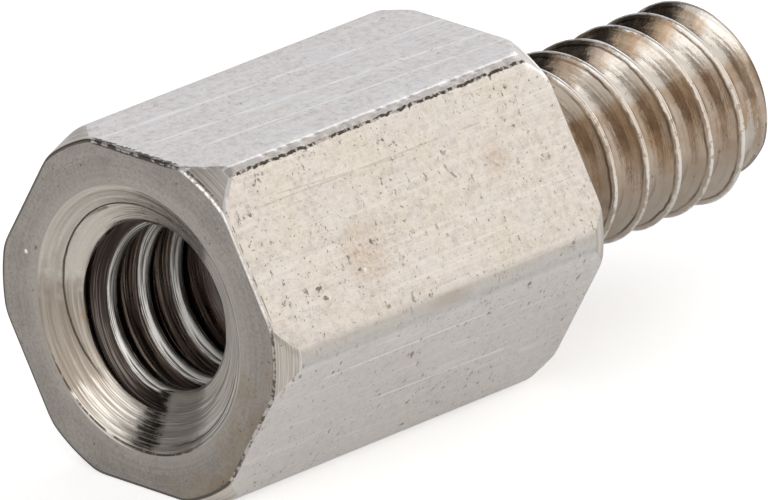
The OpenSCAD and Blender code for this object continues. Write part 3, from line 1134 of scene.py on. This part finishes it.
# %% Floor
FLOOR_SIZE = 4.0
FLOOR_GLOW = 0.52
MIRROR_SHARE = 0.32
PAPER = (0.92, 0.92, 0.92, 1.0)
WHITE = (1.0, 1.0, 1.0, 1.0)
floor_mesh = bpy.data.meshes.new("floor")
half = FLOOR_SIZE / 2
floor_z = low[2]
corners = [(-half, -half, floor_z), (half, -half, floor_z), (half, half, floor_z), (-half, half, floor_z)]
floor_mesh.from_pydata(corners, [], [(0, 1, 2, 3)])
floor = bpy.data.objects.new("floor", floor_mesh)
bpy.context.scene.collection.objects.link(floor)
paper = bpy.data.materials.new("paper")
paper.use_nodes = True
sheet = Graph(paper.node_tree)
diffuse = sheet.node("ShaderNodeBsdfDiffuse", None, {"Color": PAPER})
glow = sheet.node("ShaderNodeEmission", None, {"Color": WHITE, "Strength": FLOOR_GLOW})
lit = sheet.node("ShaderNodeAddShader", None, {0: diffuse, 1: glow})
seen = sheet.node("ShaderNodeLightPath", output=0)
mirrored = sheet.node("ShaderNodeLightPath", output=3)
surface = sheet.node("ShaderNodeMixShader", None, {0: seen + mirrored * MIRROR_SHARE, 1: diffuse, 2: lit})
sheet.node("ShaderNodeOutputMaterial", None, {"Surface": surface})
floor_mesh.materials.append(paper)
print("floor at", round(floor_z / MM, 3), "mm")

# %% World and softboxes
world = bpy.data.worlds.new("studio")
bpy.context.scene.world = world
world.use_nodes = True
sky = Graph(world.node_tree)
direction = sky.node("ShaderNodeTexCoord", output=0)


def toward(aim, start, end):
    """1 around a direction, rising between two cosines of the angle from it."""
    aim = tuple(Vector(aim).normalized())
    return sky.rise(sky.vector_math("DOT_PRODUCT", direction, aim, output=1), start, end)


to_left = toward((-1.0, 0.0, 0.0), 0.05, 0.35)
softboxes = {
    "front right": (toward((0.684, -0.622, 0.383), 0.72, 0.97), (0.65, 0.58, 0.51)),
    "back right": (toward((0.684, 0.642, 0.347), 0.72, 0.97), (0.43, 0.435, 0.47)),
    "overhead": (toward((0.3, 0.0, 0.95), 0.5, 1.0), (0.16, 0.16, 0.16)),
    "front left": (toward((-0.561, -0.797, -0.224), -0.03, 0.05) * to_left, (0.62, 0.61, 0.59)),
    "strip": (toward((0.68, 0.35, 0.55), 0.975, 0.99), (0.45, 0.45, 0.45)),
    "end": (toward((0.92, 0.08, 0.38), 0.88, 0.94), (0.7, 0.7, 0.7)),
    "left": (toward((-0.9, 0.2, 0.39), 0.875, 0.925), (0.56, 0.56, 0.56)),
}
AMBIENT = (0.3, 0.3, 0.3)
UNLIT = (0.03, 0.03, 0.03)
dark_room = sky.most(toward((-0.54, 0.76, 0.33), 0.952, 0.966), toward((-0.57, 0.645, 0.51), 0.984, 0.993))
light = sky.mix(dark_room, AMBIENT, UNLIT)
for name, (mask, color) in softboxes.items():
    light = sky.vector_math("MULTIPLY_ADD", mask, color, light)
    print("softbox", name, color)
shown = sky.mix(sky.node("ShaderNodeLightPath", output=0), light, WHITE[:3])
background = sky.node("ShaderNodeBackground", None, {"Color": shown, "Strength": 1.0})
sky.node("ShaderNodeOutputWorld", None, {"Surface": background})

# %% [markdown]
# ## The camera
# The photo was taken from far off with a long lens: the long edges of the hexagon stay almost parallel.
# The angles were found by matching the corners of the part in the photo. The camera looks along the
# line from its own place, moved sideways so that the part fills the picture as it does in the photo.

# %% Camera
AZIMUTH = math.radians(-46.22)
ELEVATION = math.radians(21.2)
ROLL = math.radians(-1.16)
WIDTHS_AWAY = 60
PIXELS_PER_WIDTH = 354.2
PICTURE_WIDTH = 768
WIDTH = HEX_WIDTH * MM
MIDDLE = (-0.2305 * WIDTH, -0.17 * WIDTH)
ground = Vector((math.sin(AZIMUTH), -math.cos(AZIMUTH), 0.0))
back = ground * math.cos(ELEVATION) + Vector((0, 0, math.sin(ELEVATION)))
level_right = Vector((0, 0, 1)).cross(back).normalized()
level_up = back.cross(level_right)
right = level_right * math.cos(ROLL) + level_up * math.sin(ROLL)
up = level_up * math.cos(ROLL) - level_right * math.sin(ROLL)
camera = bpy.data.cameras.new("camera")
camera.sensor_fit = "HORIZONTAL"
camera.sensor_width = 36.0
camera.lens = camera.sensor_width * PIXELS_PER_WIDTH * WIDTHS_AWAY / PICTURE_WIDTH
camera.clip_start = 0.01
camera.clip_end = 10.0
viewer = bpy.data.objects.new("camera", camera)
viewer.matrix_world = Matrix((right, up, back)).transposed().to_4x4()
viewer.location = back * WIDTHS_AWAY * WIDTH + right * MIDDLE[0] + up * MIDDLE[1]
bpy.context.scene.collection.objects.link(viewer)
bpy.context.scene.camera = viewer
bpy.context.scene.view_settings.view_transform = "Standard"
print("lens", round(camera.lens, 1), "mm, distance", round(WIDTHS_AWAY * WIDTH, 4), "m")
